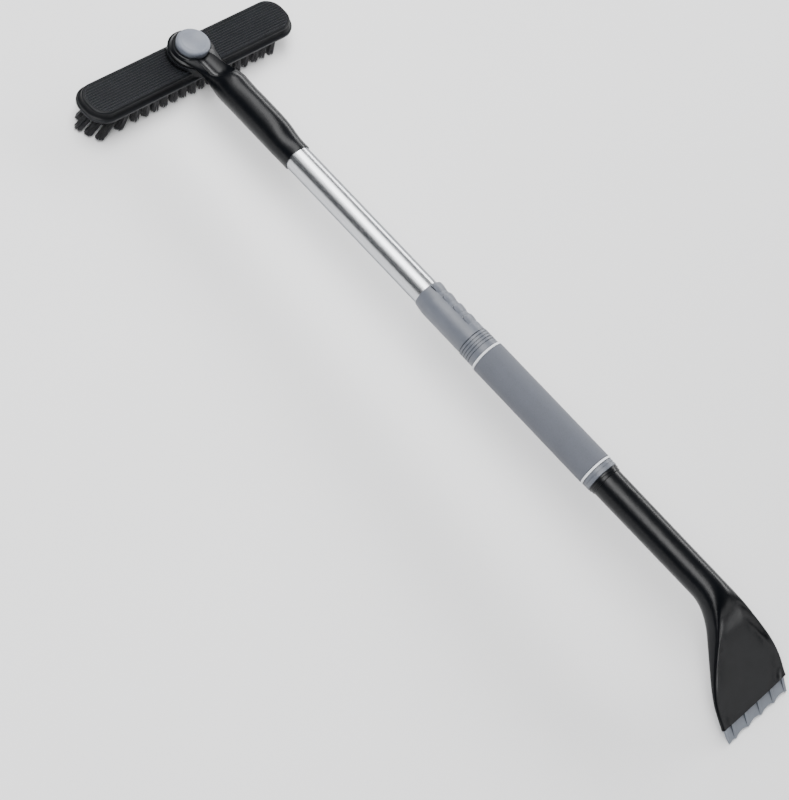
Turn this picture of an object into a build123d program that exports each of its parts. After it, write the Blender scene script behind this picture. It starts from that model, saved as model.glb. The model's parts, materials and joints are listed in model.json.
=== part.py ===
from build123d import *

import os
from math import atan2, ceil, cos, degrees, radians, sin

# Snow brush with a telescopic handle and an ice scraper.
#
# Every piece is drawn in a design frame: the handle's axis is the X axis, the brush head's
# pivot axis is the Z axis at x = 0, and the head's length runs along Y. The last step lays
# the whole object down on its bristles and its scraper blade, with +Z up.

# ---------------------------------------------------------------- driving dimensions, mm

# Aluminium extension tube, shown fully drawn out.
TUBE_R = 14.0
TUBE_WALL = 1.2
TUBE_START = 161.6
TUBE_END = 440.0
TRAVEL = 178.0

# Brush head. Heights here are above (+) or below (-) the top of the brush block.
AXIS_RISE = 11.5
BLOCK_HALF_LENGTH = 132.0
BLOCK_HALF_WIDTH = 20.6
LIP_FLARE = 3.8
BLOCK_HEIGHT = 10.5
LIP_HEIGHT = 2.6
CORNER_SHARE = 0.86
RIB_COUNT = 13
RIB_PITCH = 2.9
COVER_WALL = 2.4

# Bristles: rows along the head, tufts along each row.
ROW_COUNT = 5
ROW_PITCH = 8.4
TUFT_PITCH = 12.3
TUFTS_PER_ROW = 20
TUFT_HOLE_R = 2.4
BRISTLE_LENGTH = 23.5
ROW_SPLAY = 5.0
TIP_SPREAD = 1.2
END_SPLAY = 22.0

# Pivot between the head and the neck.
BOSS_R = 24.0
HUB_R = 24.0
HUB_TOP = 7.6
HUB_SHELF = 3.0
EYE_FLOOR = 8.2
EYE_FLOOR_THICKNESS = 2.2
EYE_R = 24.5
EYE_TOP = 13.8
BUTTON_R = 17.4
BUTTON_TOP = 21.0
BUTTON_TRAVEL = 2.5
SPLINE_LUGS = 8
RUN_GAP = 0.1

# Neck between the head and the extension tube.
NECK_R = 17.1
NECK_LIFT = 2.5
NECK_END_R = 15.3
BELLY_CLEARANCE = 1.1

# Handle, from the twist collar to the scraper.
COLLAR_START = 351.5
COLLAR_END = 417.0
FERRULE_END = 436.0
GRIP_START = 438.4
GRIP_END = 586.0
BAND_START = 588.3
BAND_END = 596.6
FLANGE_END = 602.6
HANDLE_R = 15.9
HANDLE_BORE_R = 14.75
GRIP_R = 18.1
PADDLE_START = 704.0

# Scraper paddle: the spine leaves the handle's axis on an arc and ends straight.
BEND_START = 730.0
BEND_R = 70.0
BEND_ANGLE = 39.5
PADDLE_STRAIGHT = 83.0
PADDLE_HALF_WIDTH = 49.3
BLADE_HALF_WIDTH = 45.0
BLADE_THICKNESS = 3.0
BLADE_REACH = 17.0
BLADE_SEAT = 15.0
TOOTH_PITCH = 20.0
TOOTH_DEPTH = 3.0

BRUSH_TOP = -AXIS_RISE
BRUSH_BOTTOM = BRUSH_TOP - BLOCK_HEIGHT


# ------------------------------------------------------------------------- shape helpers


def z_drum(radius, low, high):
    """Cylinder about the pivot axis, between two heights above the brush block's top."""
    base = Align.CENTER, Align.CENTER, Align.MIN
    return Pos(0, 0, BRUSH_TOP + low) * Cylinder(radius, high - low, align=base)


def z_turned(points):
    """Solid turned about the pivot axis from (radius, height above the block) points."""
    outline = [(r, 0, BRUSH_TOP + height) for r, height in points]
    return revolve(make_face(Polyline(*outline, close=True)), Axis.Z)


def x_drum(radius, start, end):
    """Cylinder about the handle's axis."""
    base = Align.CENTER, Align.CENTER, Align.MIN
    return Pos(start, 0, 0) * Rot(0, 90, 0) * Cylinder(radius, end - start, align=base)


def x_tube(outer_r, inner_r, start, end):
    return x_drum(outer_r, start, end) - x_drum(inner_r, start - 1, end + 1)


def x_turned(points, start_angle=0.0, arc=360.0):
    """Solid turned about the handle's axis from (x, radius) points. Angle 0 faces +Y."""
    face = make_face(Polyline(*[(x, r, 0) for x, r in points], close=True))
    return revolve(Rot(start_angle, 0, 0) * face, Axis.X, arc)


def rounded_bar(half_length, half_width, low, high):
    """Bar along Y with nearly round ends, between two heights above the block's top."""
    outline = RectangleRounded(2 * half_width, 2 * half_length, CORNER_SHARE * half_width)
    return extrude(Pos(0, 0, BRUSH_TOP + low) * outline, high - low)


def lugged_disc(core_r, lug_r, lug_width, low, high):
    """Disc with evenly spaced radial lugs."""
    sketch = Circle(core_r)
    for turn in range(SPLINE_LUGS // 2):
        angle = 360 * turn / SPLINE_LUGS
        sketch += Rot(0, 0, angle) * Rectangle(2 * lug_r, lug_width)
    sketch = sketch & Circle(lug_r)
    return extrude(Pos(0, 0, BRUSH_TOP + low) * sketch, high - low)


def screw(radius, head_r, head_height, length):
    """Pan-head screw hanging down from z = 0, with its head above it and a cross recess."""
    base = Align.CENTER, Align.CENTER, Align.MAX
    body = Cylinder(radius, length, align=base)
    head = Cylinder(head_r, head_height, align=(Align.CENTER, Align.CENTER, Align.MIN))
    head = fillet(head.edges().group_by(Axis.Z)[-1], 0.45 * head_height)
    slot = Pos(0, 0, head_height) * Box(1.2 * head_r, 0.25 * head_r, head_height)
    return body + head - slot - Rot(0, 0, 90) * slot


# ------------------------------------------------------------------------------ the head

TUFT_ROWS = [ROW_PITCH * (row - (ROW_COUNT - 1) / 2) for row in range(ROW_COUNT)]
SCREW_BOSS = -7.0
SCREW_PLACES = [-2.5 * TUFT_PITCH * 3, -2.5 * TUFT_PITCH, 2.5 * TUFT_PITCH, 2.5 * TUFT_PITCH * 3]


def tufts_in(row):
    """Tufts in a row: the outer rows are shorter, so that the ends of the rows follow the block."""
    return TUFTS_PER_ROW - abs(row - ROW_COUNT // 2)


def row_half_length(row):
    return (tufts_in(row) - 1) * TUFT_PITCH / 2


def cover_ribs():
    """Fine ribs along the top, cut off square just inside its rounded edge."""
    rib_r, sink = 0.78, 0.12
    half = BLOCK_HALF_LENGTH
    ribs = Part()
    for index in range(RIB_COUNT):
        x = RIB_PITCH * (index - (RIB_COUNT - 1) / 2)
        ribs += Pos(x, 0, BRUSH_TOP - sink) * Rot(90, 0, 0) * Cylinder(rib_r, 2 * half)
    return ribs & rounded_bar(half - 3.6, BLOCK_HALF_WIDTH - 2.6, -1.2, 2)


def brush_cover():
    """Ribbed shell of the head, with a lip all round and a round boss for the pivot."""
    width, length = BLOCK_HALF_WIDTH, BLOCK_HALF_LENGTH
    lip_top = LIP_HEIGHT - BLOCK_HEIGHT
    lip = rounded_bar(length + LIP_FLARE, width + LIP_FLARE, -BLOCK_HEIGHT, lip_top)
    body = lip + rounded_bar(length, width, lip_top, 0)
    shelf = body.faces().filter_by_position(Axis.Z, BRUSH_TOP + lip_top - 0.01, BRUSH_TOP + lip_top + 0.01)[0]
    body = fillet(shelf.inner_wires()[0].edges(), LIP_FLARE - 1.1)
    body = fillet(body.faces().sort_by(Axis.Z)[-1].outer_wire().edges(), 1.7)
    lip_edge = body.edges().filter_by_position(Axis.Z, BRUSH_TOP + lip_top - 0.01, BRUSH_TOP + lip_top + 0.01)
    body = fillet([e for e in lip_edge if e.center().length > 0 and on_lip(e)], 0.9)
    body += cover_ribs()

    wall = COVER_WALL
    floor_top = -BLOCK_HEIGHT + 2.0
    body -= rounded_bar(length - 2.4, width - 2.4, floor_top, -wall)
    body -= rounded_bar(length + 2.2, width + 2.2, -BLOCK_HEIGHT, floor_top)
    body += z_drum(BOSS_R, floor_top, HUB_SHELF)
    for y in SCREW_PLACES:
        body += Pos(0, y, 0) * z_drum(3.4, SCREW_BOSS, -wall)
        body -= Pos(0, y, 0) * z_drum(1.2, SCREW_BOSS, -wall)
    body -= z_drum(18.05, -2.05, HUB_SHELF)
    body -= z_drum(3.15, floor_top, 0)
    return body


def on_lip(edge):
    """True for an edge of the lip's own outline, outside the block's outline."""
    middle = edge @ 0.5
    past_side = abs(middle.X) > BLOCK_HALF_WIDTH + LIP_FLARE - 0.5
    past_end = abs(middle.Y) > BLOCK_HALF_LENGTH + LIP_FLARE - 0.5
    corner = CORNER_SHARE * (BLOCK_HALF_WIDTH + LIP_FLARE)
    dx = abs(middle.X) - (BLOCK_HALF_WIDTH + LIP_FLARE - corner)
    dy = abs(middle.Y) - (BLOCK_HALF_LENGTH + LIP_FLARE - corner)
    return past_side or past_end or (dx > 0 and dy > 0 and (dx * dx + dy * dy) ** 0.5 > corner - 0.5)


def brush_base():
    """Plate that carries the tufts and closes the cover from below."""
    width, length = BLOCK_HALF_WIDTH, BLOCK_HALF_LENGTH
    plate_top = -BLOCK_HEIGHT + 1.95
    base = rounded_bar(length + 2.1, width + 2.1, -BLOCK_HEIGHT, plate_top)
    core = rounded_bar(length - 2.5, width - 2.5, plate_top, -COVER_WALL - 1.0)
    core -= z_drum(BOSS_R + 0.1, plate_top, 0)
    for y in SCREW_PLACES:
        core -= Pos(0, y, 0) * z_drum(3.5, SCREW_BOSS, 0)
    base += core
    hole_top = -BLOCK_HEIGHT + 1.6
    for row, x in enumerate(TUFT_ROWS):
        for index in range(tufts_in(row)):
            y = TUFT_PITCH * index - row_half_length(row)
            blocked = abs(x) < 1 and min(abs(y - place) for place in SCREW_PLACES) < 6
            deep = hole_top if x * x + y * y < (BOSS_R + 4) ** 2 else -BLOCK_HEIGHT + 5.5
            if not blocked:
                base -= Pos(x, y, 0) * z_drum(TUFT_HOLE_R, -BLOCK_HEIGHT, deep)
    for y in SCREW_PLACES:
        base -= Pos(0, y, 0) * z_drum(1.3, -BLOCK_HEIGHT, SCREW_BOSS)
        base -= Pos(0, y, 0) * z_drum(2.8, -BLOCK_HEIGHT, 1.4 - BLOCK_HEIGHT)
    base -= z_drum(5.3, -BLOCK_HEIGHT, plate_top)
    return base


def bristle_row(row):
    """One row of tufts as a plain block that fans out towards its tips."""
    x = TUFT_ROWS[row]
    lean = 2 * x / (ROW_PITCH * (ROW_COUNT - 1))
    root_half = row_half_length(row) + TUFT_HOLE_R
    root = Pos(x, 0, BRUSH_BOTTOM) * Rectangle(2 * TUFT_HOLE_R, 2 * root_half)
    tip = Pos(x + ROW_SPLAY * lean, 0, BRUSH_BOTTOM - BRISTLE_LENGTH)
    tip = tip * Rectangle(2 * (TUFT_HOLE_R + TIP_SPREAD), 2 * (root_half + END_SPLAY))
    return loft([root, tip], ruled=True)


def cover_screws():
    """Four screws that hold the tuft plate to the cover, driven in from below."""
    one = Rot(180, 0, 0) * screw(1.2, 2.6, 1.2, 5.6)
    return Compound(children=[Pos(0, y, BRUSH_BOTTOM + 1.4) * one for y in SCREW_PLACES])


# ----------------------------------------------------------------------------- the pivot

POCKET_R = 15.0
POST_R = 5.4
POCKET_FLOOR = 0.3
SPLINE_LOW = 3.3
SPLINE_HIGH = 5.4
CONE_R = 14.6
CONE_HIGH = 9.9
CONE_SLOPE = 0.64
SPRING_TOP = 7.3


def pivot_hub():
    """Stepped disc on the head with a splined pocket for the lock cone and a centre post."""
    hub = z_turned([(0, HUB_SHELF), (HUB_R - 0.6, HUB_SHELF), (HUB_R, HUB_SHELF + 0.6),
                    (HUB_R, 5.0), (HUB_R - 1.3, 5.4), (HUB_R - 1.3, HUB_TOP), (0, HUB_TOP)])
    hub += z_drum(18.0, -2.0, HUB_SHELF)
    hub -= lugged_disc(12.6, POCKET_R, 5.2, POCKET_FLOOR, SPLINE_HIGH + 0.1)
    hub -= z_drum(POCKET_R, SPLINE_HIGH + 0.1, HUB_TOP)
    hub += z_drum(POST_R, POCKET_FLOOR, 10.5)
    return hub - z_drum(3.1, -2.0, 10.5)


def swivel_washer():
    """Slip ring on which the neck's eye turns."""
    return z_drum(22.8, HUB_TOP, EYE_FLOOR - RUN_GAP) - z_drum(17.0, HUB_TOP, EYE_FLOOR)


def lock_cone():
    """Brake cone, splined to the hub: the spring wedges it up into the eye's tapered hole."""
    cone_end_r = CONE_R - CONE_SLOPE * (CONE_HIGH - EYE_FLOOR)
    cone = lugged_disc(12.4, POCKET_R - 0.15, 4.9, SPLINE_LOW, SPLINE_HIGH)
    cone += z_turned([(0, SPLINE_HIGH), (12.4, SPLINE_HIGH), (12.4, EYE_FLOOR - 0.15), (CONE_R, EYE_FLOOR),
                      (cone_end_r, CONE_HIGH), (0, CONE_HIGH)])
    cone -= z_drum(9.4, SPLINE_LOW, SPRING_TOP) - z_drum(6.3, SPLINE_LOW, SPRING_TOP)
    return cone - z_drum(POST_R + RUN_GAP, SPLINE_LOW, CONE_HIGH)


def button_spring():
    """Compression spring round the hub's post, up inside the cone."""
    wire_r, coil_r, turns = 0.45, 7.8, 3.5
    free_height = SPRING_TOP - POCKET_FLOOR - 2 * wire_r
    pitch = free_height / turns
    path = Helix(pitch, free_height, coil_r)
    section = Plane(path @ 0, z_dir=path % 0) * Circle(wire_r)
    coil = sweep(section, path, is_frenet=True)
    return Pos(0, 0, BRUSH_TOP + POCKET_FLOOR + wire_r) * coil


def retaining_washer():
    """Cap washer screwed to the post, which keeps the eye down on the hub."""
    washer = z_drum(14.4, 10.5, 11.7) - z_drum(3.1, 10.5, 11.7)
    for place in PolarLocations(10.2, 3):
        washer -= place * z_drum(1.9, 10.5, 11.7)
    return washer


def pivot_screw():
    return Pos(0, 0, BRUSH_TOP + 11.7) * screw(3.0, 5.2, 2.6, 19.8)


def pivot_nut():
    """Square nut in the boss under the head, on the pivot screw's end."""
    low, high = -BLOCK_HEIGHT + 0.2, -BLOCK_HEIGHT + 1.9
    nut = z_drum(5.1, low, high) & Pos(0, 0, BRUSH_TOP + low) * Box(9, 9, 10)
    return nut - z_drum(3.0, low, high)


def lock_button():
    """Round push button with a dished top, a skirt and three legs that push the cone."""
    skirt = 13.1
    button = z_drum(BUTTON_R, skirt, BUTTON_TOP)
    button = fillet(button.edges().group_by(Axis.Z)[-1], 2.6)
    dish_r, dish_depth = 60.0, 1.3
    dish = Pos(0, 0, BRUSH_TOP + BUTTON_TOP - dish_depth + dish_r) * Sphere(dish_r)
    button -= dish
    button -= z_drum(BUTTON_R - 1.9, skirt, BUTTON_TOP - 3.2)
    for place in PolarLocations(10.2, 3):
        button += place * z_drum(1.6, CONE_HIGH, BUTTON_TOP - 3.0)
    return button


# ------------------------------------------------------------------------------ the neck


def cross_section(x, half_width, half_height, height):
    """Ellipse across the handle's axis, its centre a height above the brush block's top."""
    plane = Plane(origin=(x, 0, BRUSH_TOP + height), x_dir=(0, 1, 0), z_dir=(1, 0, 0))
    return plane * Ellipse(half_width, half_height)


def neck_eye():
    """Flared round eye of the neck, seated on the swivel washer."""
    lip = EYE_FLOOR + 1.9
    return z_turned([(0, EYE_FLOOR), (EYE_R - 0.7, EYE_FLOOR), (EYE_R, EYE_FLOOR + 0.6), (EYE_R, lip - 0.7),
                     (EYE_R - 0.9, lip), (EYE_R - 2.0, lip + 0.4), (EYE_R - 3.3, EYE_TOP - 1.4),
                     (EYE_R - 4.1, EYE_TOP - 0.35), (EYE_R - 4.9, EYE_TOP), (0, EYE_TOP)])


def neck_arm():
    """Tongue that grows out of the eye into the round neck, then tapers down to the tube."""
    axis = AXIS_RISE
    lifted = axis + NECK_LIFT
    sections = [
        cross_section(4, 19.3, 3.0, EYE_FLOOR + 2.6),
        cross_section(20, 17.3, 4.4, axis + 0.7),
        cross_section(34, 15.0, 7.8, axis + 0.9),
        cross_section(47, 15.8, 13.2, axis + 1.8),
        cross_section(60, NECK_R, NECK_R, lifted),
    ]
    sections += [cross_section(x, NECK_R, NECK_R, lifted) for x in (72, 92, 113)]
    sections += [
        cross_section(134, NECK_R - 0.5, NECK_R - 0.5, lifted - 0.8),
        cross_section(144, NECK_END_R + 0.5, NECK_END_R + 0.5, axis + 0.5),
        cross_section(153, NECK_END_R, NECK_END_R, axis),
        cross_section(TUBE_START, NECK_END_R, NECK_END_R, axis),
    ]
    return loft(sections)


def neck_scoop():
    """Hollow in the tongue's top, open at the eye and round at the neck's end."""
    scoop_r, height, end = 17.0, 29.6, 38.0
    ball = Pos(end, 0, BRUSH_TOP + height) * Sphere(scoop_r)
    groove = Pos(0, 0, BRUSH_TOP + height) * x_drum(scoop_r, 10, end)
    return ball + groove


def neck_underside():
    """Space swept by the brush block and the hub when the head turns under the neck."""
    far = BLOCK_HALF_LENGTH + 5
    swept = Pos(0, 0, BRUSH_TOP + BELLY_CLEARANCE) * Box(
        2 * far, 60, 40, align=(Align.CENTER, Align.CENTER, Align.MAX))
    ramp = Pos(far, 0, BRUSH_TOP + BELLY_CLEARANCE) * Rot(0, 20, 0) * Box(
        30, 60, 12, align=(Align.MIN, Align.CENTER, Align.MAX))
    return swept + ramp + z_drum(HUB_R + 1.0, -20, EYE_FLOOR)


def neck():
    """Eye, arm and spigot in one moulding."""
    body = neck_eye() + neck_arm()
    body -= neck_underside()
    body -= neck_scoop()
    floor_top = EYE_FLOOR + EYE_FLOOR_THICKNESS
    body -= z_drum(BUTTON_R + 0.35, floor_top, 40)
    taper = CONE_R + 0.1
    body -= z_turned([(0, EYE_FLOOR), (taper, EYE_FLOOR), (taper - CONE_SLOPE * EYE_FLOOR_THICKNESS, floor_top),
                      (0, floor_top)])
    body += x_drum(TUBE_R - TUBE_WALL - 0.05, TUBE_START, TUBE_START + 42)
    body -= x_drum(8.5, 78, TUBE_START + 43)
    return body - pin_hole(2.0)


PIN_X = TUBE_START + 20


def pin_hole(radius):
    """Blind hole up into the tube and the neck's spigot from below."""
    drill = Cylinder(radius, TUBE_R, align=(Align.CENTER, Align.CENTER, Align.MAX))
    return Pos(PIN_X, 0, -8) * drill


def neck_pin():
    """Flush pin that holds the tube on the neck's spigot."""
    body = Cylinder(1.98, TUBE_R - 9.3, align=(Align.CENTER, Align.CENTER, Align.MAX))
    return Pos(PIN_X, 0, -9.0) * body


def inner_tube():
    tube = x_tube(TUBE_R, TUBE_R - TUBE_WALL, TUBE_START, TUBE_END)
    return tube - pin_hole(2.0)


def tube_guide():
    """Bush at the tube's inner end, which runs in the handle and stops it pulling out."""
    skin = x_tube(HANDLE_BORE_R - 0.05, TUBE_R + 0.05, COLLAR_END - 1.6, TUBE_END)
    end = x_tube(HANDLE_BORE_R - 0.05, 9.0, TUBE_END, TUBE_END + 4)
    plug = x_tube(TUBE_R - TUBE_WALL - 0.05, 9.0, TUBE_END - 16, TUBE_END)
    return skin + end + plug


# ---------------------------------------------------------------------------- the handle

RIDGE_PLACES = [358.0 + 14.3 * index for index in range(4)]
RIDGE_START, RIDGE_ARC = -16.0, 97.0
RIDGE_CREST = 17.15
PAD_R = 15.95
COLLAR_R = 16.6


def ridge_end(x, half, angle, side):
    """Cutter that rounds one end of a ridge in plan. Side is -1 or 1, along the turn."""
    place = (Align.CENTER, Align.CENTER, Align.MIN if side > 0 else Align.MAX)
    block = Box(2 * half + 4, 8, half + 4, align=place) - Rot(90, 0, 0) * Cylinder(half, 10)
    return Rot(angle, 0, 0) * Pos(x, PAD_R + 4, 0) * block


def ridge(x, half, crest_r):
    """Low ridge part of the way round the collar: steep towards the brush, easing away from it."""
    foot = PAD_R - 1.0
    outline = [(x - half, foot), (x - half, PAD_R + 0.15), (x - 0.92 * half, crest_r - 0.35),
               (x - 0.74 * half, crest_r - 0.06), (x - 0.5 * half, crest_r), (x, crest_r - 0.12),
               (x + 0.5 * half, crest_r - 0.5), (x + half, PAD_R + 0.1), (x + half, foot)]
    reach = degrees(half / PAD_R)
    bar = x_turned(outline, RIDGE_START - reach, RIDGE_ARC + 2 * reach)
    bar -= ridge_end(x, half, RIDGE_START, -1)
    return bar - ridge_end(x, half, RIDGE_START + RIDGE_ARC, 1)


def lock_collar():
    """Twist collar: turned sleeve with a recessed thumb pad crossed by ridges."""
    outer = x_turned([(COLLAR_START, 0), (COLLAR_START, 14.6), (COLLAR_START + 0.6, 14.9), (COLLAR_START + 8, 16.1),
                      (COLLAR_START + 14, COLLAR_R), (COLLAR_END - 1.0, COLLAR_R), (COLLAR_END, COLLAR_R - 0.6),
                      (COLLAR_END, 0)])
    pad_start, pad_end = RIDGE_PLACES[0] - 5.5, RIDGE_PLACES[-1] + 6.5
    margin = 18.0
    outer -= x_turned([(pad_start, PAD_R + 0.6), (pad_start + 1.5, PAD_R), (pad_end - 2.0, PAD_R),
                       (pad_end, PAD_R + 0.7), (pad_end, 20), (pad_start, 20)],
                      RIDGE_START - margin, RIDGE_ARC + 2 * margin)
    for x in RIDGE_PLACES:
        outer += ridge(x, 5.0, RIDGE_CREST)
    outer -= x_drum(TUBE_R + 0.06, COLLAR_START - 1, COLLAR_END + 1)
    return outer - x_drum(15.8, COLLAR_END - NOSE_LENGTH - 1.0, COLLAR_END + 1)


NOSE_LENGTH = 7.6


def grooved_ferrule():
    """Fixed ferrule on the handle's mouth, with a slotted nose that the collar squeezes."""
    start = COLLAR_END + 0.2
    body = x_drum(17.1, start, FERRULE_END)
    for index in range(4):
        x = start + 2.6 + 3.1 * index
        body -= x_turned([(x, 16.6), (x + 0.7, 16.6), (x + 1.3, 18), (x - 0.6, 18)])
    body += x_drum(15.7, start - NOSE_LENGTH, start)
    body -= x_drum(HANDLE_R + 0.02, start + 2.8, FERRULE_END + 1)
    body -= x_drum(14.85, start - 13, start + 3)
    for angle in (45, 135):
        body -= Rot(angle, 0, 0) * Pos(start - NOSE_LENGTH, 0, 0) * Box(
            11, 1.2, 40, align=(Align.CENTER, Align.CENTER, Align.CENTER))
    return body


def clamp_ring():
    """Split ring between the ferrule's nose and the tube."""
    ring = x_tube(14.8, TUBE_R + 0.05, COLLAR_END - 7.2, COLLAR_END - 1.8)
    return ring - Pos(COLLAR_END - 4.5, 0, -14) * Box(8, 1.5, 4)


def trim_ring(start, end, radius, inner_r=HANDLE_R + 0.02, edge=0.35):
    """Ring round the handle with broken edges."""
    return x_turned([(start, inner_r), (start, radius - edge), (start + edge, radius),
                     (end - edge, radius), (end, radius - edge), (end, inner_r)])


def end_band():
    """Grey band under the grip, with a shallow groove."""
    band = trim_ring(BAND_START, BAND_END, 17.7, edge=0.6)
    middle = (BAND_START + BAND_END) / 2
    return band - x_turned([(middle - 0.8, 18), (middle - 0.5, 17.45), (middle + 0.5, 17.45), (middle + 0.8, 18)])


def stop_flange():
    """Black ring that closes the grip, stepped down towards the handle."""
    return x_turned([(BAND_END, HANDLE_R + 0.02), (BAND_END, 16.9), (BAND_END + 0.4, 17.3), (BAND_END + 2.2, 17.3),
                     (BAND_END + 2.6, 16.8), (FLANGE_END - 0.5, 16.6), (FLANGE_END, 16.2),
                     (FLANGE_END, HANDLE_R + 0.02)])


# ---------------------------------------------------------------------------- the paddle


def spine(distance):
    """Point and slope of the paddle's spine, a distance along it from the bend's start."""
    arc_length = BEND_R * radians(BEND_ANGLE)
    turned = min(max(distance / BEND_R, 0), radians(BEND_ANGLE))
    beyond = distance if distance < 0 else max(distance - arc_length, 0)
    x = BEND_START + BEND_R * sin(turned) + beyond * cos(turned)
    z = -BEND_R * (1 - cos(turned)) - beyond * sin(turned)
    return x, z, turned


def spine_plane(distance):
    """Plane across the spine: its x is the object's +Y, its y is the paddle's upper side."""
    x, z, turned = spine(distance)
    return Plane(origin=(x, 0, z), x_dir=(0, 1, 0), z_dir=(cos(turned), 0, -sin(turned)))


PADDLE_LENGTH = BEND_R * radians(BEND_ANGLE) + PADDLE_STRAIGHT
TIP_THICKNESS = 6.8
PADDLE_R = 15.4
SECTION_POINTS = 40


def smooth_step(value):
    value = min(max(value, 0), 1)
    return value * value * (3 - 2 * value)


def paddle_half_width(distance):
    """Half width along the spine: the handle's own slow taper, then the paddle's flare."""
    taper = (HANDLE_R - 0.05 - PADDLE_R) * min(max(-distance - 10, 0) / 120, 1)
    flare = smooth_step((distance - 2) / 112)
    return PADDLE_R + taper + (PADDLE_HALF_WIDTH - PADDLE_R) * flare


def paddle_thickness(distance):
    if distance < 0:
        return 2 * paddle_half_width(distance)
    return 2 * PADDLE_R - (2 * PADDLE_R - TIP_THICKNESS) * smooth_step((distance - 6) / 102)


def dish_depth(distance):
    """Depth of the hollow in the upper side: a scoop where the tube ends, then a shallow dish."""
    return 7.4 * smooth_step((distance - 14) / 38) - 6.5 * smooth_step((distance - 46) / 60)


def paddle_section(distance):
    """Smooth closed outline: round at first, then a flat dished top over a curved underside."""
    half = paddle_half_width(distance)
    thick = paddle_thickness(distance)
    dish = dish_depth(distance)
    rim = 11.0 - 5.0 * smooth_step((distance - 26) / 74)
    squareness = 2.0 + 2.2 * smooth_step((distance - 2) / 80)
    fullness = 2.0 + 1.3 * smooth_step((distance - 2) / 60)
    points = []
    for step in range(SECTION_POINTS):
        angle = radians(360 * step / SECTION_POINTS)
        across = half * cos(angle)
        if sin(angle) > 0:
            up = thick / 2 * (1 - abs(cos(angle)) ** squareness) ** (1 / squareness)
            up -= dish * smooth_step((half - 1.0 - abs(across)) / rim)
        else:
            up = -thick / 2 * (1 - abs(cos(angle)) ** fullness) ** (1 / fullness)
        points.append((across, up))
    return spine_plane(distance) * make_face(Spline(*points, periodic=True))


def paddle():
    """Shovel-shaped end of the handle: raised rims down both sides of a hollow face."""
    first, straight_steps = FLANGE_END - 3 - BEND_START, 17
    places = [first * (1 - step / straight_steps) for step in range(straight_steps + 1)]
    places += [8, 16, 24, 32, 40, 49, 58, 68, 79, 91, 104, 118, PADDLE_LENGTH]
    body = loft([paddle_section(distance) for distance in places])
    end = spine_plane(PADDLE_LENGTH)
    seat = Box(2 * BLADE_HALF_WIDTH + 0.1, 10, BLADE_SEAT + 0.05,
               align=(Align.CENTER, Align.MAX, Align.MAX))
    return body - end * Pos(0, BLADE_TOP + 0.02, 0) * seat


BLADE_TOP = BLADE_THICKNESS - TIP_THICKNESS / 2 + 0.1
RIVET_PLACES = [-30.0, 0.0, 30.0]


def tooth_tips():
    """Places of the blade's points along its edge: a full pitch each, from one corner."""
    count = ceil(2 * BLADE_HALF_WIDTH / TOOTH_PITCH)
    tips = [TOOTH_PITCH * index - BLADE_HALF_WIDTH for index in range(count)]
    return tips + [BLADE_HALF_WIDTH]


def scraper_blade():
    """Toothed plate seated under the paddle's end, with a raised rib up to each point."""
    tips = tooth_tips()
    edge = []
    for tip, following in zip(tips, tips[1:]):
        middle = (tip + following) / 2
        bite = TOOTH_DEPTH * min((following - tip) / TOOTH_PITCH, 1)
        edge.append(ThreePointArc((tip, BLADE_REACH), (middle, BLADE_REACH - bite), (following, BLADE_REACH)))
    back = Polyline((-BLADE_HALF_WIDTH, BLADE_REACH), (-BLADE_HALF_WIDTH + 0.8, -BLADE_SEAT),
                    (BLADE_HALF_WIDTH - 0.8, -BLADE_SEAT), (BLADE_HALF_WIDTH, BLADE_REACH))
    outline = make_face(Curve() + edge + back)
    plate = extrude(outline, BLADE_THICKNESS)
    for tip in tips:
        side = min(max(tip, -BLADE_HALF_WIDTH + 1.3), BLADE_HALF_WIDTH - 1.3)
        plate += blade_rib(side)
    bevel = Pos(0, BLADE_REACH - 7.5, 0) * Rot(13, 0, 0) * Box(
        2 * BLADE_HALF_WIDTH + 4, 20, 6, align=(Align.CENTER, Align.MIN, Align.MAX))
    plate -= bevel
    for place in RIVET_PLACES:
        hole = Cylinder(1.6, 8, align=(Align.CENTER, Align.CENTER, Align.CENTER))
        plate -= Pos(place, -BLADE_SEAT / 2, 0) * hole
    return blade_place() * plate


def blade_rib(side):
    """Rib on the blade's upper side, thinning to nothing at the point."""
    start, rise, half = 0.4, 1.7, 1.7
    profile = make_face(Polyline((start, 0), (start, rise), (BLADE_REACH - 0.6, 0), close=True))
    bar = extrude(profile, half, both=True)
    return Pos(side, 0, BLADE_THICKNESS - 0.01) * Rot(0, 0, 90) * Rot(90, 0, 0) * bar


def blade_place():
    """Where the blade is drawn: x across, y forward along the spine, z to its upper side."""
    x, z, turned = spine(PADDLE_LENGTH)
    low = BLADE_TOP - BLADE_THICKNESS
    plane = Plane(origin=(x + low * sin(turned), 0, z + low * cos(turned)), x_dir=(0, -1, 0),
                  z_dir=(sin(turned), 0, cos(turned)))
    return plane.location


def blade_rivets():
    """Three rivets up through the blade into the paddle."""
    rivets = []
    for place in RIVET_PLACES:
        shank = Cylinder(1.55, 4.2, align=(Align.CENTER, Align.CENTER, Align.MIN))
        head = Cylinder(2.9, 0.9, align=(Align.CENTER, Align.CENTER, Align.MAX))
        head = fillet(head.edges().group_by(Axis.Z)[0], 0.6)
        rivets.append(blade_place() * Pos(place, -BLADE_SEAT / 2, 0) * (shank + head))
    return Compound(children=rivets)


def scraper_handle():
    """Long hollow handle that ends in the scraper's paddle."""
    start = COLLAR_END + 3.2
    body = x_drum(HANDLE_R, start, FLANGE_END - 2) + paddle()
    body -= x_drum(HANDLE_BORE_R, start - 1, TUBE_END + TRAVEL + 14)
    body -= x_drum(12.5, start, PADDLE_START)
    for place in RIVET_PLACES:
        hole = Cylinder(1.6, 4.3, align=(Align.CENTER, Align.CENTER, Align.MIN))
        body -= blade_place() * Pos(place, -BLADE_SEAT / 2, 0) * hole
    return body


# ------------------------------------------------------------------- laying the object down

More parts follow.
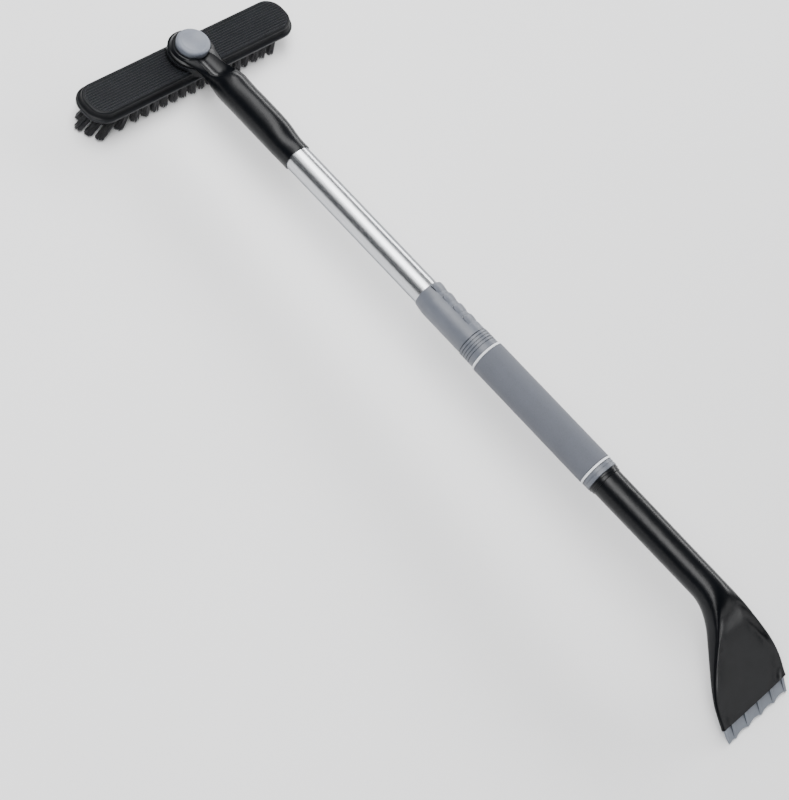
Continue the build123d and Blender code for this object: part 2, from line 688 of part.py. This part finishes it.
NODES = {
    "brush_cover": brush_cover,
    "brush_base": brush_base,
    "cover_screws": cover_screws,
    "pivot_hub": pivot_hub,
    "swivel_washer": swivel_washer,
    "lock_cone": lock_cone,
    "button_spring": button_spring,
    "retaining_washer": retaining_washer,
    "pivot_screw": pivot_screw,
    "pivot_nut": pivot_nut,
    "lock_button": lock_button,
    "neck": neck,
    "neck_pin": neck_pin,
    "inner_tube": inner_tube,
    "tube_guide": tube_guide,
    "lock_collar": lock_collar,
    "grooved_ferrule": grooved_ferrule,
    "clamp_ring": clamp_ring,
    "upper_ring": lambda: trim_ring(FERRULE_END, GRIP_START, GRIP_R + 0.2),
    "grip_sleeve": lambda: trim_ring(GRIP_START, GRIP_END, GRIP_R, edge=0.8),
    "lower_ring": lambda: trim_ring(GRIP_END, BAND_START, GRIP_R + 0.2),
    "end_band": end_band,
    "stop_flange": stop_flange,
    "scraper_handle": scraper_handle,
    "scraper_blade": scraper_blade,
    "blade_rivets": blade_rivets,
}

for number in range(ROW_COUNT):
    NODES[f"bristle_row_{number + 1}"] = lambda row=number: bristle_row(row)


def main():
    os.makedirs("parts", exist_ok=True)
    shapes = {name: build() for name, build in NODES.items()}
    blade = shapes["scraper_blade"].bounding_box()
    bristle_tip = BRUSH_BOTTOM - BRISTLE_LENGTH
    heel = TUFT_ROWS[0] - ROW_SPLAY - TUFT_HOLE_R - TIP_SPREAD
    tilt = degrees(atan2(bristle_tip - blade.min.Z, blade.max.X - heel))
    laid = Rot(0, -tilt, 0)
    low = min((laid * shape).bounding_box().min.Z for shape in shapes.values())
    left = min((laid * shape).bounding_box().min.X for shape in shapes.values())
    right = max((laid * shape).bounding_box().max.X for shape in shapes.values())
    place = Pos(-(left + right) / 2, 0, -low) * laid
    print("tilt", round(tilt, 3), "pivot at", (place * Vertex(0, 0, 0)).center())
    for name, shape in shapes.items():
        export_step(place * shape, f"parts/{name}.step")


main()
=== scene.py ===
"""Looks of a telescopic snow brush with an ice scraper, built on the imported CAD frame."""

import json
import math
import random

import bmesh
import bpy
from mathutils import Euler, Matrix, Vector


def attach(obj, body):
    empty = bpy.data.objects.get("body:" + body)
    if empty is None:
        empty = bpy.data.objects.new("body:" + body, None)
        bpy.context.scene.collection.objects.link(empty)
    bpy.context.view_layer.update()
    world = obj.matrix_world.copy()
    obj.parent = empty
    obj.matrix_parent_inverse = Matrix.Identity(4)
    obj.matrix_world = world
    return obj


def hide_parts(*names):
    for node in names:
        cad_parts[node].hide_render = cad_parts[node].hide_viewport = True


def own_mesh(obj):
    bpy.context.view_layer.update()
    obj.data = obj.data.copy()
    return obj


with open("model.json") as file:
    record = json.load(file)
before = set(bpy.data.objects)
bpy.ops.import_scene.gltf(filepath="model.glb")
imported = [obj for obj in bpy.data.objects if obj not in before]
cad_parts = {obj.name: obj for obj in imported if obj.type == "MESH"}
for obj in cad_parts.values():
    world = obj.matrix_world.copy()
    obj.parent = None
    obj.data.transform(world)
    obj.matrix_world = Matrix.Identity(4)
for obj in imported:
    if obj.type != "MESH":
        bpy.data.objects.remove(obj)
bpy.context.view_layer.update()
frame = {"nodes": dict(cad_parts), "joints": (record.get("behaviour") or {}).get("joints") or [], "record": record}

nodes = frame["nodes"]
joints = {joint["name"]: joint for joint in frame["joints"]}

# The handle's axis, the head's own axes and its pivot, in the row frame, in metres.
ALONG = Vector(joints["extension"]["axis"]).normalized()
UP = Vector(joints["head_swivel"]["axis"]).normalized()
PIVOT = Vector(joints["head_swivel"]["pos_m"])
ACROSS = Vector((0.0, 1.0, 0.0))
MM = 0.001


def at(x, y, z):
    """Point in the row frame: x along the handle, y along the head, z up from the axis, in mm."""
    return PIVOT + ALONG * (x * MM) + ACROSS * (y * MM) + UP * (z * MM)


# ---------------------------------------------------------------- materials

# Grain of moulded plastic: how far its colour strays, the texture scale of its skin, and the rounding
# in metres that finds its edges.
MOTTLE_SPREAD = 0.10
GRAIN_SCALE = 2600.0
EDGE_RADIUS = 0.0009


class Build:
    """A material's node tree, with short calls for the nodes that the finishes share."""

    def __init__(self, name):
        self.material = bpy.data.materials.new(name)
        self.material.use_nodes = True
        self.tree = self.material.node_tree
        self.shader = self.tree.nodes["Principled BSDF"]
        self.coords = self.add("ShaderNodeTexCoord").outputs["Object"]

    def add(self, kind, **settings):
        node = self.tree.nodes.new(kind)
        for key, value in settings.items():
            setattr(node, key, value)
        return node

    def link(self, source, target):
        self.tree.links.new(source, target)

    def stretched(self, scale):
        """Object coordinates stretched along their axes."""
        mapping = self.add("ShaderNodeMapping")
        mapping.inputs["Scale"].default_value = scale
        self.link(self.coords, mapping.inputs["Vector"])
        return mapping.outputs["Vector"]

    def noise(self, scale, detail=3.0, roughness=0.55, vector=None):
        node = self.add("ShaderNodeTexNoise")
        node.inputs["Scale"].default_value = scale
        node.inputs["Detail"].default_value = detail
        node.inputs["Roughness"].default_value = roughness
        self.link(vector or self.coords, node.inputs["Vector"])
        return node.outputs["Fac"]

    def cells(self, scale):
        node = self.add("ShaderNodeTexVoronoi")
        node.inputs["Scale"].default_value = scale
        self.link(self.coords, node.inputs["Vector"])
        return node.outputs["Distance"]

    def ramp(self, value, low, high, start=0.3, end=0.7):
        """Colour or grey from low to high as the value goes from start to end."""
        node = self.add("ShaderNodeValToRGB")
        for element, place, colour in zip(node.color_ramp.elements, (start, end), (low, high)):
            element.position = place
            element.color = colour if len(colour) == 4 else (*colour, 1.0)
        self.link(value, node.inputs["Fac"])
        return node.outputs["Color"]

    def mix(self, share, first, second):
        node = self.add("ShaderNodeMix", data_type="RGBA")
        self.link(share, node.inputs["Factor"])
        self.link(first, node.inputs["A"])
        self.link(second, node.inputs["B"])
        return node.outputs["Result"]

    def bumps(self, *layers):
        """Stacks bump layers of (height, strength, distance in metres) under the shader."""
        normal = None
        for height, strength, distance in layers:
            node = self.add("ShaderNodeBump")
            node.inputs["Strength"].default_value = strength
            node.inputs["Distance"].default_value = distance
            self.link(height, node.inputs["Height"])
            if normal:
                self.link(normal, node.inputs["Normal"])
            normal = node.outputs["Normal"]
        self.link(normal, self.shader.inputs["Normal"])

    def worn_and_highlit_edges(self, radius):
        """Grey value that is bright where the surface turns sharply, within a radius in metres."""
        bevel = self.add("ShaderNodeBevel", samples=4)
        bevel.inputs["Radius"].default_value = radius
        geometry = self.add("ShaderNodeNewGeometry")
        dot = self.add("ShaderNodeVectorMath", operation="DOT_PRODUCT")
        self.link(bevel.outputs["Normal"], dot.inputs[0])
        self.link(geometry.outputs["Normal"], dot.inputs[1])
        return self.ramp(dot.outputs["Value"], (1, 1, 1), (0, 0, 0), 0.80, 0.99)

    def hollows(self, reach):
        """Grey value that is dark in grooves and at the foot of steps, within a reach in metres."""
        node = self.add("ShaderNodeAmbientOcclusion", samples=8)
        node.inputs["Distance"].default_value = reach
        return node.outputs["AO"]

    def set(self, **values):
        for key, value in values.items():
            self.shader.inputs[key.replace("_", " ")].default_value = value


def shade(colour, factor):
    return tuple(channel * factor for channel in colour)


def moulded(name, colour, rough, wear_and_sheen, grain=0.12, level=0.5, groove_shade=0.5, reach=0.002, crest_highlight=1.0):
    """Moulded plastic: faint mottle, fine spark-eroded grain, painted shade in grooves, paler edges of wear and
    painted highlight.

    Wear_and_sheen is the share of the paler edge colour, partly wear and partly painted highlight, and
    crest_highlight its brightness;
    groove_shade is the brightness of the painted shade in grooves and reach how far, in metres, that painted shade
    spreads beside a groove. Level is the specular level.
    """
    b = Build(name)
    mottle = b.noise(46.0, 5.0, 0.6)
    tint = b.ramp(mottle, shade(colour, 1 - MOTTLE_SPREAD), shade(colour, 1 + MOTTLE_SPREAD), 0.32, 0.68)
    # Paler edge colour: partly wear, partly a painted highlight, strongest on the head's rib tops.
    pale = b.ramp(b.noise(900.0, 2.0), shade(colour, 1.3 * crest_highlight), shade(colour, 1.9 * crest_highlight), 0.4, 0.6)
    # Painted shade: a darker copy of the colour for grooves and the feet of steps.
    painted_groove_shade = b.ramp(b.noise(700.0, 2.0), shade(colour, groove_shade * 0.8), shade(colour, groove_shade), 0.4, 0.6)
    share = b.add("ShaderNodeMath", operation="MULTIPLY")
    b.link(b.worn_and_highlit_edges(EDGE_RADIUS), share.inputs[0])
    share.inputs[1].default_value = wear_and_sheen
    worn_and_highlit = b.mix(share.outputs[0], tint, pale)
    # Painted shade: where ambient occlusion finds a hollow, the colour goes over to the darker copy.
    unshaded = b.ramp(b.hollows(reach), (0, 0, 0), (1, 1, 1), 0.45, 0.96)
    b.link(b.mix(unshaded, painted_groove_shade, worn_and_highlit), b.shader.inputs["Base Color"])
    polish = b.ramp(b.noise(75.0, 4.0), (rough * 0.92,) * 3, (rough * 1.08,) * 3)
    b.link(polish, b.shader.inputs["Roughness"])
    b.bumps((b.noise(GRAIN_SCALE, 2.0), grain, 0.00006))
    b.set(Specular_IOR_Level=level)
    return b


def brushed_tube(name):
    """Anodised aluminium drawn along the handle: long fine lines and a slight haze."""
    b = Build(name)
    lines = b.noise(60.0, 4.0, 0.7, b.stretched((0.6, 40.0, 40.0)))
    fine = b.noise(300.0, 3.0, 0.6, b.stretched((0.25, 14.0, 14.0)))
    b.link(b.ramp(lines, (0.50, 0.51, 0.53), (0.57, 0.58, 0.60), 0.3, 0.7), b.shader.inputs["Base Color"])
    b.link(b.ramp(fine, (0.24,) * 3, (0.29,) * 3), b.shader.inputs["Roughness"])
    b.bumps((fine, 0.05, 0.00003))
    b.set(Metallic=1.0, Specular_Tint=(0.22, 0.23, 0.25, 1.0))
    return b


def foam(name, colour):
    """Dense sleeve foam: small closed pores, soft mottle and a dusty sheen."""
    b = Build(name)
    pores = b.cells(1500.0)
    mottle = b.noise(70.0, 5.0, 0.65)
    tint = b.ramp(mottle, shade(colour, 0.90), shade(colour, 1.10), 0.3, 0.7)
    dark = b.ramp(b.noise(1100.0, 3.0, 0.7), shade(colour, 0.72), shade(colour, 1.05), 0.35, 0.5)
    share = b.ramp(b.noise(600.0, 3.0), (0.15,) * 3, (0.55,) * 3, 0.4, 0.6)
    b.link(b.mix(share, tint, dark), b.shader.inputs["Base Color"])
    b.link(b.ramp(mottle, (0.78,) * 3, (0.92,) * 3), b.shader.inputs["Roughness"])
    lumps, skin = b.noise(110.0, 3.0), b.noise(2400.0, 3.0)
    b.bumps((lumps, 0.10, 0.0006), (pores, 0.30, 0.00012), (skin, 0.35, 0.00008))
    b.set(Sheen_Weight=0.12, Sheen_Roughness=0.5)
    return b


def plated_steel(name):
    """Zinc plate: cool mottled grey with fine random scratches."""
    b = Build(name)
    zinc = b.ramp(b.noise(420.0, 4.0), (0.42, 0.43, 0.45), (0.62, 0.63, 0.64))
    b.link(zinc, b.shader.inputs["Base Color"])
    b.link(b.ramp(b.noise(900.0, 3.0), (0.26,) * 3, (0.46,) * 3), b.shader.inputs["Roughness"])
    b.bumps((b.noise(2600.0, 2.0, 0.5, b.stretched((1.0, 0.15, 1.0))), 0.15, 0.00004))
    b.set(Metallic=1.0)
    return b


def nylon(name):
    """Bristle filaments: near black with a faint mottle and a dull gloss."""
    b = Build(name)
    b.link(b.ramp(b.noise(380.0, 3.0), (0.009, 0.009, 0.011), (0.027, 0.028, 0.031), 0.3, 0.7),
           b.shader.inputs["Base Color"])
    b.link(b.ramp(b.noise(500.0, 2.0), (0.36,) * 3, (0.52,) * 3), b.shader.inputs["Roughness"])
    b.bumps((b.noise(1800.0, 2.0, 0.5, b.stretched((1.0, 1.0, 0.2))), 0.15, 0.00005))
    return b


# The head has its own black, duller than the handle's, with a painted highlight on the rib tops and painted shade
# in the grooves.
BLACK = moulded("black_plastic", (0.0020, 0.0025, 0.0036), 0.30, grain=0.02, wear_and_sheen=0.02, level=0.20)
HEAD_BLACK = moulded("head_plastic", (0.0060, 0.0065, 0.0076), 0.33, grain=0.05, wear_and_sheen=1.0, level=0.12,
                     groove_shade=0.08, reach=0.0022, crest_highlight=7.0)
FINISHES = {
    "grey_plastic": moulded("grey_plastic", (0.094, 0.103, 0.125), 0.42, grain=0.10, wear_and_sheen=0.5,
                            groove_shade=0.06, reach=0.0022),
    "pale_plastic": moulded("pale_plastic", (0.70, 0.72, 0.76), 0.40, wear_and_sheen=0.05),
    "button_plastic": moulded("button_plastic", (0.140, 0.154, 0.186), 0.42, grain=0.08, wear_and_sheen=0.15,
                              groove_shade=0.3, reach=0.005),
    "blade_plastic": moulded("blade_plastic", (0.150, 0.168, 0.200), 0.34, grain=0.05, wear_and_sheen=0.9,
                             groove_shade=0.25),
    "white_plastic": moulded("white_plastic", (0.70, 0.70, 0.67), 0.38, wear_and_sheen=0.05),
    "grip_foam": foam("grip_foam", (0.088, 0.095, 0.115)),
    "tube_aluminium": brushed_tube("tube_aluminium"),
    "bristle_nylon": nylon("bristle_nylon"),
    "fastener_steel": plated_steel("fastener_steel"),
    "black_plastic": BLACK,
}
HEAD_NODES = ("brush_cover", "brush_base", "pivot_hub")

for entry in frame["record"]["subparts"]:
    mesh = nodes[entry["node"]].data
    mesh.materials.clear()
    finish = HEAD_BLACK if entry["node"] in HEAD_NODES else FINISHES[entry["material_slot"]]
    mesh.materials.append(finish.material)


# ---------------------------------------------------------------- bristles

# Heights are from the handle's axis, in mm; the tufts stand where the tuft plate's holes are.
BRUSH_BOTTOM = -22.0
BRISTLE_LENGTH = 23.5
ROW_COUNT = 5
ROW_PITCH = 8.4
TUFT_PITCH = 12.3
TUFTS_PER_ROW = 20
ROW_SPLAY = 5.0
END_SPLAY = 21.3
SHOWN_SPLAY = 0.55
SCREW_GAP = 6.0
SCREW_PLACES = [TUFT_PITCH * share for share in (-7.5, -2.5, 2.5, 7.5)]

# The tufts of the outer and the inner rows are cut short by these trims, except those bent further
# than FANNED.
OUTER_TRIM = 1.2
INNER_TRIM = 0.2
FANNED = 6.0

# The outer share of a row bends: its near end outward, by these shares of END_SPLAY from row to row,
# and its far end a little inward.
FAN_START = 0.74
FAN_CURVE = 1.3
FAN_SHARES = (0.45, 0.8, 0.88, 1.0, 1.0)
FAR_LEAN = 3.0

# One tuft: its filaments, its radii at the plate and at the tips, and how far chance moves it. The
# root is wider than its hole in the plate, for a fuller tuft.
FILAMENTS = 110
ROOT_R = 3.3
ROOT_SINK = 1.2
TIP_R = 5.0
SHORTEST_TUFT = 0.975
SHORTEST_CUT = 0.97
CROWN_TRIM = 1.4
SWING_X = 0.5
SWING_Y = 0.7
BOW = 0.4
BEND = 1.3

FILAMENT_R = 0.42
TAPER = 0.35
SIDES = 4
STEPS = 4


def filament(mesh, path, radius):
    """Thin tapered tube along a path of points, closed at both ends."""
    rings = []
    for index, point in enumerate(path):
        ahead = path[min(index + 1, len(path) - 1)]
        behind = path[max(index - 1, 0)]
        turn = (ahead - behind).to_track_quat("Z", "X")
        size = radius * (1.0 - TAPER * index / (len(path) - 1))
        ring = []
        for side in range(SIDES):
            angle = 2 * math.pi * side / SIDES
            offset = Vector((size * math.cos(angle), size * math.sin(angle), 0))
            ring.append(mesh.verts.new(point + turn @ offset))
        rings.append(ring)
    for low, high in zip(rings, rings[1:]):
        for side in range(SIDES):
            following = (side + 1) % SIDES
            mesh.faces.new((low[side], low[following], high[following], high[side]))
    mesh.faces.new(rings[-1])
    mesh.faces.new(list(reversed(rings[0])))


def tuft(mesh, x, y, lean_x, lean_y, length, dice):
    """Bundle of filaments that starts round its hole in the plate and opens towards its tips."""
    length *= dice.uniform(SHORTEST_TUFT, 1.0)
    swing_x = lean_x + dice.uniform(-SWING_X, SWING_X)
    swing_y = lean_y + dice.uniform(-SWING_Y, SWING_Y)
    for _ in range(FILAMENTS):
        angle = dice.uniform(0, 2 * math.pi)
        out = math.sqrt(dice.random())
        cut = length * dice.uniform(SHORTEST_CUT, 1.0) - CROWN_TRIM * out ** 4
        spread = TIP_R * dice.uniform(0.85, 1.05)
        bow = dice.uniform(-BOW, BOW)
        path = []
        for step in range(STEPS + 1):
            share = step / STEPS
            radius = out * (ROOT_R + (spread - ROOT_R) * share)
            drift = share ** BEND
            px = x + radius * math.cos(angle) + swing_x * drift + bow * math.sin(math.pi * share)
            py = y + radius * math.sin(angle) + swing_y * drift
            path.append(at(px, py, BRUSH_BOTTOM + ROOT_SINK - (cut + ROOT_SINK) * share))
        filament(mesh, path, FILAMENT_R * MM)


def splay_at_end(y, half, row):
    """Lean of a tuft along its row: outward at the near end, a little inward at the far end."""
    reach = max(abs(y) / half - FAN_START, 0) / (1 - FAN_START)
    if y > 0:
        return -FAR_LEAN * reach
    return -END_SPLAY * FAN_SHARES[row] * reach ** FAN_CURVE


def bristle_row(row):
    """All the tufts of one row as one mesh."""
    dice = random.Random(100 + row)
    x = ROW_PITCH * (row - (ROW_COUNT - 1) / 2)
    count = TUFTS_PER_ROW - abs(row - ROW_COUNT // 2)
    half = (count - 1) * TUFT_PITCH / 2
    lean_x = SHOWN_SPLAY * ROW_SPLAY * 2 * x / (ROW_PITCH * (ROW_COUNT - 1))
    trim = OUTER_TRIM if row in (0, ROW_COUNT - 1) else INNER_TRIM
    mesh = bmesh.new()
    for index in range(count):
        y = TUFT_PITCH * index - half
        if abs(x) < 1 and min(abs(y - place) for place in SCREW_PLACES) < SCREW_GAP:
            continue
        lean_y = splay_at_end(y, half, row)
        length = BRISTLE_LENGTH if lean_y < -FANNED else BRISTLE_LENGTH - trim
        tuft(mesh, x, y, lean_x, lean_y, length, dice)
    data = bpy.data.meshes.new(f"bristles_{row + 1}")
    mesh.to_mesh(data)
    mesh.free()
    for face in data.polygons:
        face.use_smooth = True
    data.materials.append(FINISHES["bristle_nylon"].material)
    piece = bpy.data.objects.new(f"bristles_{row + 1}", data)
    bpy.context.scene.collection.objects.link(piece)
    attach(piece, "head")
    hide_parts(f"bristle_row_{row + 1}")


for number in range(ROW_COUNT):
    bristle_row(number)


# ---------------------------------------------------------------- button spring


def pressed_spring():
    """Copy of the CAD coil under the button, as a mesh of its own on the head. The real coil flattens by the
    button's travel and the gap; the copy keeps the CAD shape.
    """
    source = nodes["button_spring"].data
    piece = bpy.data.objects.new("spring_coil", source.copy())
    bpy.context.scene.collection.objects.link(piece)
    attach(piece, "head")
    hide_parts("button_spring")
    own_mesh(piece)


pressed_spring()


# ---------------------------------------------------------------- stage, lights, camera

# In metres, in the row frame, as are the lights.
MIDDLE = (-0.1, 0.0, 0.05)
FLOOR_REACH = 14.0
FLOOR_HEIGHT = -0.0005


def floor_piece():
    """Plain pale floor, wide enough to fill every view."""
    mesh = bmesh.new()
    signs = ((-1, -1), (1, -1), (1, 1), (-1, 1))
    mesh.faces.new([mesh.verts.new((x * FLOOR_REACH, y * FLOOR_REACH, FLOOR_HEIGHT)) for x, y in signs])
    data = bpy.data.meshes.new("floor")
    mesh.to_mesh(data)
    mesh.free()
    b = Build("floor")
    tint = b.ramp(b.noise(3.0, 2.0), (0.86, 0.86, 0.865), (0.885, 0.885, 0.89))
    b.link(tint, b.shader.inputs["Base Color"])
    b.set(Roughness=0.75)
    data.materials.append(b.material)
    piece = bpy.data.objects.new("floor", data)
    bpy.context.scene.collection.objects.link(piece)


def soft_box(name, place, target, size, power):
    """White rectangular area light that faces a point. Sizes are in metres, power in watts."""
    light = bpy.data.lights.new(name, "AREA")
    light.shape = "RECTANGLE"
    light.size, light.size_y = size
    light.energy = power
    lamp = bpy.data.objects.new(name, light)
    lamp.location = place
    lamp.rotation_mode = "QUATERNION"
    lamp.rotation_quaternion = (Vector(target) - Vector(place)).to_track_quat("-Z", "Y")
    bpy.context.scene.collection.objects.link(lamp)


def studio():
    """Dim cool surroundings, two boxes overhead, a low strip beside and a small panel at the paddle."""
    world = bpy.data.worlds.new("studio")
    world.use_nodes = True
    background = world.node_tree.nodes["Background"]
    background.inputs["Color"].default_value = (0.80, 0.83, 0.88, 1.0)
    background.inputs["Strength"].default_value = 0.09
    bpy.context.scene.world = world
    soft_box("overhead", (-0.5, -0.35, 1.85), MIDDLE, (3.6, 0.85), 90)
    soft_box("overhead_wide", (-0.5, -0.95, 1.75), (-0.1, -0.1, 0.05), (3.6, 1.0), 22)
    soft_box("side_right", (-0.4, 2.1, 0.95), MIDDLE, (3.6, 0.5), 72)
    soft_box("front_panel", (1.9, 0.9, 0.55), (0.4, 0.0, 0.0), (1.0, 0.6), 4.0)


# The photograph's viewpoint in the handle's own axes, from the pivot: place in mm, and turns about
# X, Y and Z in degrees.
CAMERA_PLACE = (849.3, -1142.6, 1458.4)
CAMERA_TURN = (33.818, -16.991, 46.082)
LENS = 90.0


def camera():
    """Camera at the photograph's viewpoint."""
    data = bpy.data.cameras.new("camera")
    data.lens = LENS
    data.clip_start, data.clip_end = 0.05, 50.0
    own = Matrix((ALONG, ACROSS, UP)).transposed()
    turn = own @ Euler([math.radians(angle) for angle in CAMERA_TURN]).to_matrix()
    eye = bpy.data.objects.new("camera", data)
    eye.matrix_world = Matrix.Translation(at(*CAMERA_PLACE)) @ turn.to_4x4()
    bpy.context.scene.collection.objects.link(eye)
    bpy.context.scene.camera = eye


floor_piece()
studio()
camera()
